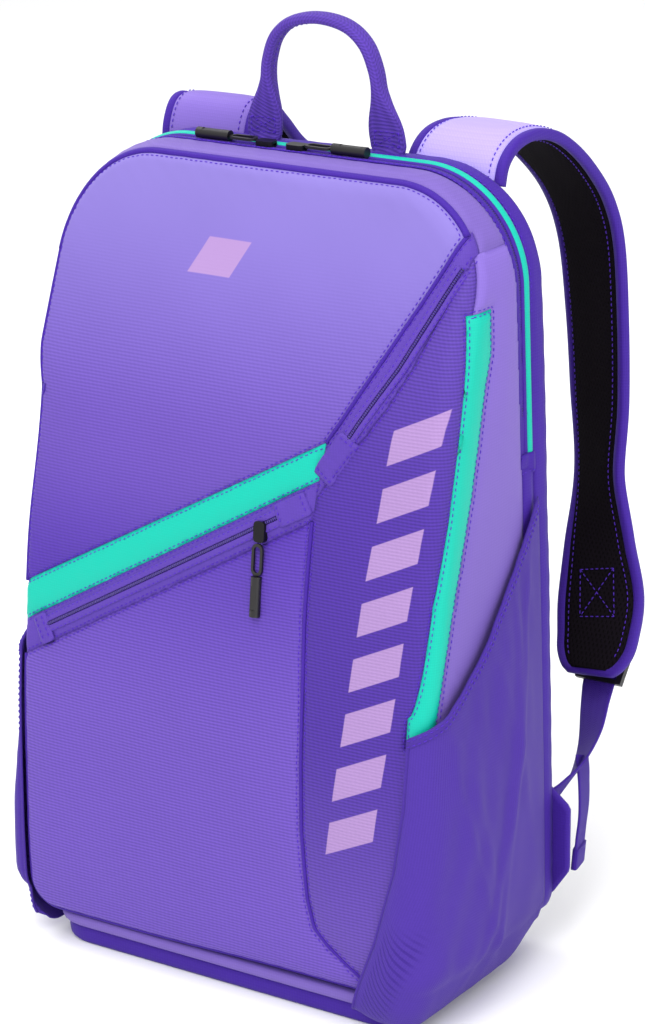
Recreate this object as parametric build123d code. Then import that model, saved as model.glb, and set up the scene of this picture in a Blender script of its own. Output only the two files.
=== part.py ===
"""Racket backpack: soft shell, side pockets, zips with pulls, haul handle and two shoulder straps.

Millimetres, +Z up, -Y is the front. The origin is the centre of the base pad's rest face.
"""
from build123d import *
import os
from math import hypot

os.makedirs("parts", exist_ok=True)

# ---- main shell ---------------------------------------------------------------------------------
HALF_W = 151.0            # half width at the bottom
TOP_HALF_W = 155.0        # half width at the top
HEIGHT = 508.0            # top of the shell
FLOOR_GAP = 20.0          # bottom of the shell above the floor: base pad and its binding
CORNER_R = 66.0           # top corners
FOOT_R = 22.0             # bottom corners
BACK_Y = 78.6             # outside of the back panel
SHELL_T = 3.0             # padded fabric thickness
FRONT = [(-78.5, 20), (-76, 60), (-64, 158), (-46, 270), (-25, 370), (1, 432), (17, 470), (26, 508)]

# ---- bands round the shell -----------------------------------------------------------------------
ZIP_Y = 52.0              # front edge of the main zip tape
PIPE_Y = 60.0             # front edge of the gusset piping
PIPE_END_Y = 65.0
PIPE_PROUD = 1.5
ZIP_END_Z = 330.0         # the main zip stops here on both sides
SIDE_TOP_Z = 440.0        # side panels below, top gusset above

# ---- handle, straps, webbing ----------------------------------------------------------------------
HANDLE_Y = 73.0
HANDLE_FOOT_X = 46.0
HANDLE_TOP = 588.0
WEB_W = 27.0
WEB_T = 2.5
STRAP = [(83, 497), (90, 510), (103, 518), (125, 520), (152, 510), (185, 488), (213, 455), (228, 415),
         (232, 370), (230, 320), (224, 270), (217, 225), (207, 188), (192, 163)]
STRAP_LEFT = [(83, 497), (86, 510), (94, 521), (107, 521), (121, 508), (139, 489), (166, 470), (193, 449),
              (213, 418), (225, 372), (229, 320), (224, 270), (217, 225), (207, 188), (192, 163)]
STRAP_PLAN = [(61, 540), (126, 540), (130, 420), (129, 320), (128, 265), (146, 215), (149, 150),
              (108, 150), (100, 215), (84, 265), (76, 320), (66, 420)]
STRAP_OUTER_T = 2.0
STRAP_FOAM_T = 6.0
STRAP_MESH_T = 2.0


def save(name, *solids):
    part = solids[0] if len(solids) == 1 else Compound(children=list(solids))
    export_step(part, f"parts/{name}.step")


def xz_prism(points, y0, y1, closed=None):
    face = closed if closed else make_face(Polyline(*points, close=True))
    return Pos(0, y0, 0) * extrude(Plane.XZ * face, amount=-(y1 - y0))


def yz_prism(face, x0, x1):
    return Pos(x0, 0, 0) * extrude(Plane.YZ * face, amount=x1 - x0)


def polygon(*points):
    return make_face(Polyline(*points, close=True))


def block(x0, x1, y0, y1, z0, z1):
    return Pos((x0 + x1) / 2, (y0 + y1) / 2, (z0 + z1) / 2) * Box(x1 - x0, y1 - y0, z1 - z0)


def mirrored(solid):
    return mirror(solid, about=Plane.YZ)


def outline(inset):
    """Front view of the shell, moved inwards by the inset."""
    low, high = HALF_W - inset, TOP_HALF_W - inset
    face = polygon((-low, FLOOR_GAP + inset), (low, FLOOR_GAP + inset), (high, HEIGHT - inset),
                   (-high, HEIGHT - inset))
    corners = face.vertices().sort_by(Axis.Y)
    face = fillet(corners[2:], CORNER_R - inset)
    return fillet(face.vertices().sort_by(Axis.Y)[:2], FOOT_R - inset)


def side_profile(front_inset, back=BACK_Y):
    """Side view from the front curve back to a flat plane, open beyond the top and bottom."""
    curve = [(y + front_inset, z) for y, z in FRONT]
    low, high = curve[0], curve[-1]
    edges = Spline(*curve) + Polyline((high[0], high[1]), (high[0], 620), (back, 620), (back, -20),
                                      (low[0], -20), (low[0], low[1]))
    return make_face(edges)


def block_shape(inset, front_inset=None, back=None):
    front = inset if front_inset is None else front_inset
    rear = BACK_Y - inset if back is None else back
    return xz_prism(None, -120, 120, outline(inset)) & yz_prism(side_profile(front, rear), -200, 200)


# ---- shell: one thin wall, cut into the panels it is sewn from --------------------------------------
outer = block_shape(0)
shell = outer - block_shape(SHELL_T)
front_wall = outer - block_shape(-1, SHELL_T, BACK_Y + 5)
ring = shell - front_wall

everything = (-700, 700)
seam = [(141, 480), (120, 441), (101, 408), (79, 370), (71, 358), (68, 339), (65, 311), (64, 250),
        (66, 164), (68, 119), (73, 78), (78, 60), (88, 50), (100, 42), (115, 32), (125, 10)]
left_of_seam = xz_prism([(-200, 10), (-200, 600), (200, 600), (200, 520)] + seam, -120, 120)
main_front = front_wall & left_of_seam
wrap_front = front_wall - left_of_seam

stripe_prism = xz_prism([(-200, 184), (-200, 209), (71, 359), (200, 430), (200, 401), (66, 331)], -120, 120)
zip_prism = xz_prism([(-200, 169), (-200, 184), (66, 331), (200, 401), (200, 380), (63, 308)], -120, 120)
above = xz_prism([(-200, 209), (71, 359), (200, 430), (200, 620), (-200, 620)], -120, 120)
below = xz_prism([(-200, -20), (-200, 169), (63, 308), (200, 380), (200, -20)], -120, 120)
save("front_panel_upper", main_front & above)
save("front_accent_stripe", main_front & stripe_prism)
save("front_pocket_zip_band", main_front & zip_prism)
save("front_panel_lower", main_front & below)

diagonal = xz_prism([(141, 480), (120, 441), (101, 408), (79, 370), (71, 358), (68, 339), (68, 326),
                     (90, 358), (110, 384), (123, 409), (132, 431), (148, 463), (200, 540), (190, 560)],
                    -120, 120)
save("diagonal_zip_band", wrap_front & diagonal)
ribbed_front = (wrap_front - diagonal) & block(*everything, *everything, FLOOR_GAP + SHELL_T, 620)

bottom_zone = block(*everything, *everything, 0, FLOOR_GAP + SHELL_T)
back_zone = block(*everything, BACK_Y - SHELL_T, 120, *everything)
zip_zone = block(*everything, ZIP_Y, PIPE_Y, ZIP_END_Z, 620)
pipe_zone = block(*everything, PIPE_Y, PIPE_END_Y, ZIP_END_Z, 620)
rear_zone = block(*everything, PIPE_END_Y, BACK_Y - SHELL_T, FLOOR_GAP + SHELL_T, 620)
band_zone = block(*everything, ZIP_Y, PIPE_END_Y, FLOOR_GAP + SHELL_T, ZIP_END_Z)

save("bottom_panel", (ring & bottom_zone) - back_zone)
save("back_panel", ring & back_zone)
save("main_zip_tape", ring & zip_zone)
save("gusset_piping", (block_shape(-PIPE_PROUD, 0) - block_shape(SHELL_T)) & pipe_zone)
save("rear_gusset", ring & rear_zone)
save("side_rear_bands", *(ring & band_zone).solids())

walls = ring & block(*everything, -120, ZIP_Y, FLOOR_GAP + SHELL_T, 620)
save("top_gusset", walls & block(*everything, *everything, SIDE_TOP_Z, 620))
sides = walls & block(*everything, *everything, 0, SIDE_TOP_Z)
save("side_panel_left", sides & block(-300, 0, *everything, 0, 620))

right_side = sides & block(0, 300, *everything, 0, 620)
stripe_face = polygon((6, SIDE_TOP_Z), (-3, 401), (-26, 318), (-41, 271), (-50, 231), (-57, 192),
                      (-40, 216), (-25, 263), (-2, 329), (17, 395), (24, 415), (25, SIDE_TOP_Z))
ahead_face = polygon((6, SIDE_TOP_Z), (-3, 401), (-26, 318), (-41, 271), (-50, 231), (-57, 192),
                     (-57, -10), (-110, -10), (-110, SIDE_TOP_Z))
side_stripe = right_side & yz_prism(stripe_face, 0, 300)
ribbed_side = right_side & yz_prism(ahead_face, 0, 300)
save("side_accent_stripe", side_stripe)
save("ribbed_wrap_panel", ribbed_front + ribbed_side)
save("side_panel_right", right_side - side_stripe - ribbed_side)

# ---- inside ---------------------------------------------------------------------------------------
save("back_foam", block(-132, 132, 68, 75, 32, 470))
save("laptop_divider", block(-130, 130, 38, 44, 24, 350))
lining_wall = block_shape(6, 16) - block_shape(6, 17.5)
save("front_pocket_lining", lining_wall & block(-140, 58, *everything, 34, 190))

# ---- base -----------------------------------------------------------------------------------------
BASE_PAD_H = 13.0


def plate(half_x, y0, y1, radius, z0, z1):
    face = Pos(0, (y0 + y1) / 2) * RectangleRounded(2 * half_x, y1 - y0, radius)
    return Pos(0, 0, z0) * extrude(face, amount=z1 - z0)


save("base_pad", plate(136, -70, 72, 24, 0, BASE_PAD_H))
save("base_binding", plate(140, -74, 75, 26, BASE_PAD_H, FLOOR_GAP))

# ---- side pockets: a stretch sheet sewn on at the front, back and bottom, open along the mouth -----
POCKET_T = 1.5
BINDING_H = 6.0


def pocket_space(grow):
    bulge = xz_prism([(140, 24 + grow), (158 - grow, 24 + grow), (165 - grow, 60), (166 - grow, 110),
                      (163.5 - grow, 200), (161 - grow, 310), (140, 310)], -120, 120)
    area = polygon((64 - grow, 24 + grow), (64 - grow, 320), (-60 + grow, 320), (-60 + grow, 150),
                   (-72 + grow, 60), (-74 + grow, 24 + grow))
    return (bulge & yz_prism(area, 100, 200)) - block_shape(-0.05, -0.05, BACK_Y + 5)


def mouth_cut(lift):
    return yz_prism(polygon((-120, 132 + lift), (100, 334 + lift), (100, 400), (-120, 400)), 100, 200)


pocket_sheet = pocket_space(0) - pocket_space(POCKET_T) - mouth_cut(BINDING_H)
pocket = pocket_sheet - mouth_cut(0)
binding = pocket_sheet & mouth_cut(0)
save("side_pocket_right", pocket)
save("side_pocket_binding_right", binding)
save("side_pocket_left", mirrored(pocket))
save("side_pocket_binding_left", mirrored(binding))

# ---- haul handle ------------------------------------------------------------------------------------
grip_x, grip_z = HANDLE_FOOT_X - 6, HANDLE_TOP - 7 - (HANDLE_FOOT_X - 6)
handle_path = (Line((-grip_x, HANDLE_Y, grip_z - 5), (-grip_x, HANDLE_Y, grip_z))
               + ThreePointArc((-grip_x, HANDLE_Y, grip_z), (0, HANDLE_Y, HANDLE_TOP - 7),
                               (grip_x, HANDLE_Y, grip_z))
               + Line((grip_x, HANDLE_Y, grip_z), (grip_x, HANDLE_Y, grip_z - 5)))
grip_section = Plane(origin=handle_path @ 0, z_dir=handle_path % 0) * Circle(7)
save("handle_grip", sweep(grip_section, path=handle_path))
foot = polygon((HANDLE_FOOT_X - WEB_W / 2, HEIGHT + 1.5), (HANDLE_FOOT_X + WEB_W / 2, HEIGHT + 1.5),
               (HANDLE_FOOT_X + 1, 535.4), (HANDLE_FOOT_X - 13, 535.4))
handle_foot = xz_prism(None, HANDLE_Y - WEB_T / 2, HANDLE_Y + WEB_T / 2, foot)
save("handle_feet", handle_foot, mirrored(handle_foot))

# ---- shoulder straps ----------------------------------------------------------------------------------


def offset_line(points, distance):
    """Points moved sideways along the local normal."""
    moved = []
    for i, (y, z) in enumerate(points):
        y0, z0 = points[max(i - 1, 0)]
        y1, z1 = points[min(i + 1, len(points) - 1)]
        length = hypot(y1 - y0, z1 - z0)
        moved.append((y - distance * (z1 - z0) / length, z + distance * (y1 - y0) / length))
    return moved


def layer(points, d0, d1, x0, x1):
    near, far = offset_line(points, d0), offset_line(points, d1)
    face = make_face(Spline(*far) + Line(far[-1], near[-1]) + Spline(*near) + Line(near[0], far[0]))
    return yz_prism(face, x0, x1)


plan = xz_prism(STRAP_PLAN, 60, 280)
layers = {"outer": (0, STRAP_OUTER_T), "foam": (-STRAP_FOAM_T, 0),
          "mesh": (-STRAP_FOAM_T - STRAP_MESH_T, -STRAP_FOAM_T)}
for name, (low, high) in layers.items():
    save(f"strap_{name}_right", layer(STRAP, low, high, 40, 170) & plan)
    save(f"strap_{name}_left", mirrored(layer(STRAP_LEFT, low, high, 40, 170) & plan))

# ladder lock under the end of each strap
LOCK_X = 128.0
LOCK_Y, LOCK_Z = 184.0, 150.0
lock_frame = block(-17, 17, -2, 2, -11, 9) - block(-13, 13, -3, 3, 1.5, 6) - block(-13, 13, -3, 3, -8, -3)
lock = Pos(LOCK_X, LOCK_Y, LOCK_Z) * Rot(-40, 0, 0) * lock_frame
save("ladder_lock_right", lock)
save("ladder_lock_left", mirrored(lock))

# lower webbing from the ladder lock down to the wing tab, with its free tail
WEB_LINE = [(176, 138), (158, 122), (138, 110), (112, 100), (92, 92)]
TAIL_LINE = [(172, 124.5), (152, 104), (134, 78), (124, 50)]
webbing = layer(WEB_LINE, 0, 2, 117, 142)
tail = layer(TAIL_LINE, -2, 0, 117, 142)
save("lower_webbing_right", webbing)
save("lower_webbing_left", mirrored(webbing))
save("webbing_tail_right", tail)
save("webbing_tail_left", mirrored(tail))
wing = xz_prism([(108, 48), (150, 40), (150, 110), (117, 100)], BACK_Y, BACK_Y + 3)
save("wing_tab_right", wing)
save("wing_tab_left", mirrored(wing))
save("yoke", xz_prism([(-136, 452), (136, 452), (128, 487), (-128, 487)], BACK_Y, BACK_Y + 3))

# ---- zip sliders and pulls ----------------------------------------------------------------------------
SLIDER_L, SLIDER_W, SLIDER_H = 13.0, 8.0, 4.0
LOOP_L = 20.0
GRIP_L, GRIP_R = 25.0, 3.4


def slider_body():
    """Slider with its top on +Z and the pull end towards +X."""
    shape = block(-SLIDER_L / 2, SLIDER_L / 2, -SLIDER_W / 2, SLIDER_W / 2, 0, SLIDER_H)
    shape = fillet(shape.edges().filter_by(Axis.Z), 2.5)
    return shape - block(-SLIDER_L, SLIDER_L, -1.5, 1.5, 1.2, 2.6)


def pull_loop():
    """Wire and cord loop, lying along +X from the hinge."""
    outer_loop = Pos(LOOP_L / 2, 0) * SlotOverall(LOOP_L, 8)
    inner_loop = Pos(LOOP_L / 2, 0) * SlotOverall(LOOP_L - 4, 4.5)
    return Pos(0, 0, -0.8) * extrude(outer_loop - inner_loop, amount=1.6)


def pull_grip():
    """Moulded tube grip beyond the loop."""
    tube = Pos(LOOP_L + 0.3, 0, 0) * Rot(0, 90, 0) * Cylinder(GRIP_R, GRIP_L, align=(
        Align.CENTER, Align.CENTER, Align.MIN))
    return tube - block(LOOP_L + 6, LOOP_L + GRIP_L - 4, -10, 10, GRIP_R - 0.5, GRIP_R + 1)


HINGE_LIFT = 4.2          # the pull turns this far above the tape
PULL_START = SLIDER_L / 2 + 0.6
BASE_LIFT = 0.35


def zip_set(name, place):
    save(f"{name}_slider", place * Pos(0, 0, BASE_LIFT) * slider_body())
    save(f"{name}_loop", place * Pos(PULL_START, 0, HINGE_LIFT) * pull_loop())
    save(f"{name}_grip", place * Pos(PULL_START, 0, HINGE_LIFT) * pull_grip())


RIGHT_SLIDER_X, LEFT_SLIDER_X = -3.0, -26.0
zip_mid_y = (ZIP_Y + PIPE_Y) / 2
zip_set("main_zip_right", Plane(origin=(RIGHT_SLIDER_X, zip_mid_y, HEIGHT), x_dir=(1, 0, 0),
                                z_dir=(0, 0, 1)).location)
zip_set("main_zip_left", Plane(origin=(LEFT_SLIDER_X, zip_mid_y, HEIGHT), x_dir=(-1, 0, 0),
                               z_dir=(0, 0, 1)).location)
FRONT_NORMAL = (0, -0.985, 0.170)
zip_set("front_zip", Plane(origin=(30, -42.6, 299), x_dir=(0, -0.170, -0.985), z_dir=FRONT_NORMAL).location)
SIDE_ZIP_Y, SIDE_ZIP_Z = -25.0, 286.0
side_x = -(HALF_W + (TOP_HALF_W - HALF_W) * (SIDE_ZIP_Z - FLOOR_GAP) / (HEIGHT - FLOOR_GAP))
zip_set("side_zip", Plane(origin=(side_x - 0.3, SIDE_ZIP_Y, SIDE_ZIP_Z), x_dir=(0, 0, -1),
                          z_dir=(-1, 0, 0)).location)
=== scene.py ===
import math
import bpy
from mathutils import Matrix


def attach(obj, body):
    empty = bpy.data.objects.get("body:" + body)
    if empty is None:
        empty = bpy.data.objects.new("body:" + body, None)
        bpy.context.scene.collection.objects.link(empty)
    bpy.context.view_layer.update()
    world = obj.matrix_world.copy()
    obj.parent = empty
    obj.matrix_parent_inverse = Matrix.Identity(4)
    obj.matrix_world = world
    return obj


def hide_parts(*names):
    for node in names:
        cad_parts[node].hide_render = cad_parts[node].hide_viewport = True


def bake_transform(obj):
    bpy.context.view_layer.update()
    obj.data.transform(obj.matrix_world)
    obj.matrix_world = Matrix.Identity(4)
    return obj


bl_info = {
    "name": "Racket backpack builder",
    "version": (1, 0, 0),
    "blender": (4, 5, 0),
    "location": "View3D > Sidebar > Backpack",
    "description": "Sews the panels, pockets, straps and zips of a racket backpack onto its frame",
    "category": "Object",
}

import bmesh
import bpy
import numpy as np
from bpy.props import FloatProperty, FloatVectorProperty, PointerProperty
from mathutils import Quaternion, Vector
from mathutils.bvhtree import BVHTree
from mathutils.kdtree import KDTree

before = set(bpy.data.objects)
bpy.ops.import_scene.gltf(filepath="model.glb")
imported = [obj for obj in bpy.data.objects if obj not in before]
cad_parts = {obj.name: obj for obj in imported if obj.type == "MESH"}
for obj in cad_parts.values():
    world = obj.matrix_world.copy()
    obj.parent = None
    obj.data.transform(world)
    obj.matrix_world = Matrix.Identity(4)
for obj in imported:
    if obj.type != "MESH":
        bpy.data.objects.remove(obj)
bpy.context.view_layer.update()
MM = 0.001

# sizes of the shell in millimetres, the same as the frame's
HALF_LOW, HALF_TOP = 151.0, 155.0
TOP_Z, LOW_Z = 508.0, 20.0
CORNER_R, FOOT_R = 66.0, 22.0
BACK_Y = 78.0
ZIP_FRONT, ZIP_BACK, PIPE_BACK = 52.0, 60.0, 65.0
ZIP_END_Z = 330.0
SIDE_TOP_Z = 440.0                   # left side panel below, top gusset above
STRIPE_LOW_Z, STRIPE_HIGH_Z = 184.0, 437.0
BAND_TOP_Z = 470.0
# height and depth of the front, from the bottom up
PROFILE = [(20, -78.5), (60, -76), (158, -64), (270, -46), (370, -25), (432, 1), (470, 17),
           (508, 26)]

CLOTH_SPECULAR = 0.22


# ------------------------------------------------------------------ properties

def colour_prop(name, description, value):
    return FloatVectorProperty(name=name, description=description, default=value, subtype="COLOR",
                               size=3, min=0.0, max=1.0)


def length_prop(name, description, value):
    return FloatProperty(name=name, description=description, default=value, unit="LENGTH",
                         subtype="DISTANCE", min=0.0)


class BackpackColours(bpy.types.PropertyGroup):
    violet: colour_prop("Violet", "Ribbed front fabric", (0.112, 0.058, 0.360))
    # lavender is partly the fabric's own colour and partly painted light on the upper front
    lavender: colour_prop("Lavender", "Upper part of the front", (0.205, 0.155, 0.480))
    smooth: colour_prop("Smooth panel", "Coated side fabric", (0.145, 0.090, 0.365))
    stretch: colour_prop("Stretch", "Knitted side pockets", (0.054, 0.020, 0.265))
    indigo: colour_prop("Indigo", "Webbing, bindings and base", (0.043, 0.010, 0.265))
    deep: colour_prop("Deep violet", "Shaded part of the ribbed fabric", (0.066, 0.024, 0.310))
    teal: colour_prop("Teal", "Accent stripes and piping", (0.001, 0.440, 0.330))
    lilac: colour_prop("Lilac", "Printed blocks", (0.330, 0.205, 0.440))
    pale: colour_prop("Pale", "Outer face of the straps", (0.330, 0.260, 0.680))
    black: colour_prop("Black", "Mesh, sliders and grips", (0.004, 0.003, 0.004))


class BackpackSizes(bpy.types.PropertyGroup):
    edge_left: length_prop("Left edge radius", "Round-over between the front and the left side", 9 * MM)
    edge_right: length_prop("Right edge radius", "Round-over under the wrapped panel", 15 * MM)
    bow_left: length_prop("Left bow", "How far the left side bows out", 7 * MM)
    bow_right: length_prop("Right bow", "How far the right side bows out", 2.5 * MM)
    crown: length_prop("Crown", "How far the front swells", 4 * MM)
    wall: length_prop("Wall", "Thickness of a padded panel", 2.4 * MM)
    seam_depth: length_prop("Seam depth", "How far a seam pulls in", 1.8 * MM)
    rib_pitch: length_prop("Rib pitch", "Distance between ribs", 2.0 * MM)
    pocket_swell: length_prop("Pocket swell", "How far a side pocket stands out", 10 * MM)
    stitch: length_prop("Stitch", "Length of one stitch", 2.3 * MM)
    piping: length_prop("Piping radius", "Radius of the teal gusset piping", 2.6 * MM)


def colours():
    return bpy.context.scene.backpack_colours


def sizes():
    return bpy.context.scene.backpack_sizes


# ------------------------------------------------------------------ shader expressions

class Value:
    """A shader socket that takes part in ordinary arithmetic."""

    def __init__(self, tree, socket):
        self.tree, self.socket = tree, socket

    def op(self, name, *others, swap=False):
        node = self.tree.nodes.new("ShaderNodeMath")
        node.operation = name
        terms = [self, *others][::-1] if swap else [self, *others]
        for slot, term in zip(node.inputs, terms):
            if isinstance(term, Value):
                self.tree.links.new(term.socket, slot)
            else:
                slot.default_value = term
        return Value(self.tree, node.outputs[0])

    def __add__(self, other):
        return self.op("ADD", other)

    def __sub__(self, other):
        return self.op("SUBTRACT", other)

    def __mul__(self, other):
        return self.op("MULTIPLY", other)

    def __truediv__(self, other):
        return self.op("DIVIDE", other)

    def __rsub__(self, other):
        return self.op("SUBTRACT", other, swap=True)

    def __rtruediv__(self, other):
        return self.op("DIVIDE", other, swap=True)

    __radd__ = __add__
    __rmul__ = __mul__

    def smooth(self, low, high):
        """0 below low, 1 above high, smooth in between; low may be the larger."""
        node = self.tree.nodes.new("ShaderNodeMapRange")
        node.interpolation_type = "SMOOTHSTEP"
        self.tree.links.new(self.socket, node.inputs["Value"])
        flip = low > high
        node.inputs["From Min"].default_value = high if flip else low
        node.inputs["From Max"].default_value = low if flip else high
        node.inputs["To Min"].default_value = 1.0 if flip else 0.0
        node.inputs["To Max"].default_value = 0.0 if flip else 1.0
        return Value(self.tree, node.outputs[0])

    def within(self, low, high, soft):
        """1 between low and high, with soft edges inside them."""
        return self.smooth(low, low + soft) * self.smooth(high, high - soft)

    def wave(self, pitch):
        """0 to 1 and back over each pitch."""
        return (self * (2 * math.pi / pitch)).op("SINE") * 0.5 + 0.5


class Finish:
    """One material and the nodes in it."""

    def __init__(self, name):
        self.material = bpy.data.materials.new(name)
        self.material.use_nodes = True
        self.tree = self.material.node_tree
        self.shader = next(n for n in self.tree.nodes if n.type == "BSDF_PRINCIPLED")

    def node(self, kind, settings=None, **links):
        made = self.tree.nodes.new(kind)
        for key, value in (settings or {}).items():
            setattr(made, key, value)
        for key, value in links.items():
            self.feed(made.inputs[key.replace("_", " ")], value)
        return made

    def feed(self, slot, value):
        if isinstance(value, Value):
            self.tree.links.new(value.socket, slot)
        elif isinstance(value, bpy.types.NodeSocket):
            self.tree.links.new(value, slot)
        else:
            slot.default_value = (*value, 1.0) if slot.type == "RGBA" else value

    def coords(self):
        place = self.node("ShaderNodeTexCoord")
        parts = self.node("ShaderNodeSeparateXYZ", Vector=place.outputs["Object"])
        return [Value(self.tree, parts.outputs[i]) for i in range(3)]

    def uv(self, name="UVMap"):
        place = self.node("ShaderNodeUVMap", {"uv_map": name})
        parts = self.node("ShaderNodeSeparateXYZ", Vector=place.outputs[0])
        return [Value(self.tree, parts.outputs[i]) for i in range(2)]

    def noise(self, scale, detail=2.0, stretch=(1, 1, 1)):
        place = self.node("ShaderNodeTexCoord")
        turn = self.node("ShaderNodeMapping", Vector=place.outputs["Object"], Scale=stretch)
        made = self.node("ShaderNodeTexNoise", Vector=turn.outputs[0], Scale=scale, Detail=detail)
        return Value(self.tree, made.outputs[0])

    def mix(self, factor, first, second, blend="MIX"):
        made = self.node("ShaderNodeMix", {"data_type": "RGBA", "blend_type": blend})
        for index, value in ((0, factor), (6, first), (7, second)):
            self.feed(made.inputs[index], value)
        return made.outputs[2]

    def shade(self, colour, factor):
        """Multiply a colour by a grey factor."""
        grey = self.node("ShaderNodeCombineColor", Red=factor, Green=factor, Blue=factor)
        return self.mix(1.0, colour, grey.outputs[0], "MULTIPLY")

    def bump(self, height, strength, distance):
        made = self.node("ShaderNodeBump", Height=height, Strength=strength, Distance=distance)
        self.feed(self.shader.inputs["Normal"], made.outputs[0])

    def finish(self, colour, rough, sheen=0.0, **constants):
        self.feed(self.shader.inputs["Base Color"], colour)
        self.feed(self.shader.inputs["Roughness"], rough)
        if sheen:
            constants = {"Sheen_Weight": sheen, "Specular_IOR_Level": CLOTH_SPECULAR}
        for key, value in constants.items():
            self.shader.inputs[key.replace("_", " ")].default_value = value
        return self.material


FINISHES = {}


def scaled(colour, share):
    return tuple(c * share for c in colour)


def between(first, second, share):
    """The colour that lies a share of the way from the first to the second."""
    return tuple(a * (1 - share) + b * share for a, b in zip(first, second))


def weave_height(x, y, pitch):
    """Plain weave: two sets of threads that pass over each other."""
    return x.wave(pitch) * y.wave(pitch * 2) + y.wave(pitch) * x.wave(pitch * 2)


def make_ribbed(name, paint, depth, calm=None):
    """Ribs across the fabric over a fainter grid of warp threads. paint gives the colour, and calm
    holds the heights between which the ribs fade in."""
    f = Finish(name)
    x, y, z = f.coords()
    pitch = sizes().rib_pitch
    height = z.wave(pitch) * 0.8 + (x + y).wave(pitch * 1.6) * 0.2
    if calm:
        clear = z.smooth(*calm)
        height = height * clear + (1 - clear) * 0.55
    tone = paint(f, colours(), x, z, height)
    f.bump(height, depth, 0.0006)
    return f.finish(tone, height * -0.08 + 0.62, sheen=0.0225)


def paint_upper(f, c, x, z, height):
    """Violet, darker low down and paler towards the top, with a block on it. The fade is partly the
    fabric's own and partly painted light and shade from above.
    """
    tone = f.mix(z.smooth(0.24, 0.34), c.deep, c.violet)
    tone = f.mix(z.smooth(0.33, 0.52), tone, c.lavender)
    # the ribs are painted darker in their grooves, as shade
    tone = f.shade(tone, height * 0.30 + 0.80 + (f.noise(9, 3) - 0.5) * 0.10)
    return f.mix(block_mask(x, z), tone, c.lilac)


def block_mask(x, z):
    """One plain slanted block, like those of the side column."""
    lean = x + (z - 0.450) * -0.55
    return lean.within(-0.045, -0.012, 0.0008) * z.within(0.440, 0.462, 0.0008)


def paint_lower(f, c, x, z, height):
    """Violet that deepens upwards."""
    light = z.smooth(0.34, 0.16)
    # the ribs are painted darker in their grooves, as shade
    grey = height * 0.44 + 0.74 + (f.noise(8, 3) - 0.5) * 0.12
    return f.shade(f.mix(light, c.deep, c.violet), grey * (light * 0.06 + 0.98))


def paint_wrap(f, c, x, z, height):
    """Violet, deepest at mid height, with a column of slanted blocks."""
    light = z.smooth(0.20, 0.03) + z.smooth(0.30, 0.44) * 0.5
    # the ribs are painted darker in their grooves, as shade, on the blocks too
    grey = height * 0.46 + 0.72 + (f.noise(8, 3) - 0.5) * 0.12
    tone = f.shade(f.mix(light, c.deep, c.violet), grey * (light * 0.06 + 0.84))
    column = (x - (z - 0.125) * 0.118).within(0.0885, 0.1215, 0.0008)
    climb = (z - (x - 0.105) * 0.45 - 0.118) / 0.0325
    block = climb.op("FRACT").within(0.0, 0.62, 0.02)
    inside = climb.smooth(-0.01, 0.0) * climb.smooth(7.8, 7.7)
    return f.mix(column * block * inside, tone, f.shade(c.lilac, height * 0.12 + 0.90))


def make_cloth(name, colour, pitch, depth, rough, sheen=0.03, spread=0.12, lit=0.92, lift=0.0):
    """Smooth woven cloth with a fine weave painted darker in its hollows as shade, a little blotch, and a
    lighter upper end painted as light from above.
    """
    f = Finish(name)
    x, y, z = f.coords()
    height = weave_height(x + y, z, pitch)
    blotch = f.noise(11, 3)
    # painted shade in the weave's hollows, and painted light from above towards the top where lift is set
    tone = f.shade(colour, height * 0.10 + lit + (blotch - 0.5) * spread
                   + z.smooth(0.05, 0.50) * lift)
    f.bump(height + blotch * 0.5, depth, 0.0005)
    return f.finish(tone, blotch * 0.1 + rough, sheen=sheen)


def make_webbing(name, colour, pitch=0.0013):
    """Herringbone webbing; its UV map is in metres, u along and v across."""
    f = Finish(name)
    u, v = f.uv()
    height = (u / pitch + v.wave(pitch * 5) * 1.6).wave(1.0) * 0.6 + v.wave(pitch) * 0.4
    f.bump(height, 0.55, 0.0007)
    # the herringbone's grooves are painted darker, as shade
    grey = height * 0.45 + 0.72 + (f.noise(30, 2) - 0.5) * 0.2
    return f.finish(f.shade(colour, grey), 0.72, sheen=0.0225)


def make_stretch():
    """Fine vertical knit, with a patch of slanted vents low at the front edge."""
    f = Finish("stretch_knit")
    c = colours()
    u, v = f.uv()
    height = u.wave(0.0012) * 0.7 + v.wave(0.0018) * 0.3
    blotch = f.noise(7, 4, (1, 1, 0.5))
    patch = (u.smooth(0.004, 0.007) * u.smooth(0.030, 0.022)
             * v.smooth(0.004, 0.010) * v.smooth(0.075, 0.055))
    slits = (v + u * 0.8).wave(0.0042).smooth(0.58, 0.78) * patch
    # the knit's hollows are painted darker, as shade
    tone = f.shade(c.stretch, height * 0.14 + 0.88 + (blotch - 0.5) * 0.30)
    # the recessed vents are painted dark indigo, as shade inside them
    tone = f.mix(slits * 0.75, tone, scaled(c.indigo, 0.7))
    f.bump(height - slits * 1.4, 0.35, 0.0006)
    return f.finish(tone, 0.66, sheen=0.0375)


def make_air_mesh():
    """Black spacer mesh with rows of small holes."""
    f = Finish("spacer_mesh")
    x, _, z = f.coords()
    a, b = (x + z * 0.577) / 0.0031, (x - z * 0.577) / 0.0031
    cell = (a.wave(1.0) * b.wave(1.0)).smooth(0.35, 0.75)
    # the holes are painted darker than the threads, as shade in them
    tone = f.mix(cell, (0.007, 0.005, 0.008), colours().black)
    f.bump(1 - cell, 0.7, 0.0010)
    return f.finish(f.shade(tone, f.noise(20, 2) * 0.3 + 0.85), 0.95, Specular_IOR_Level=0.04)


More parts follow.
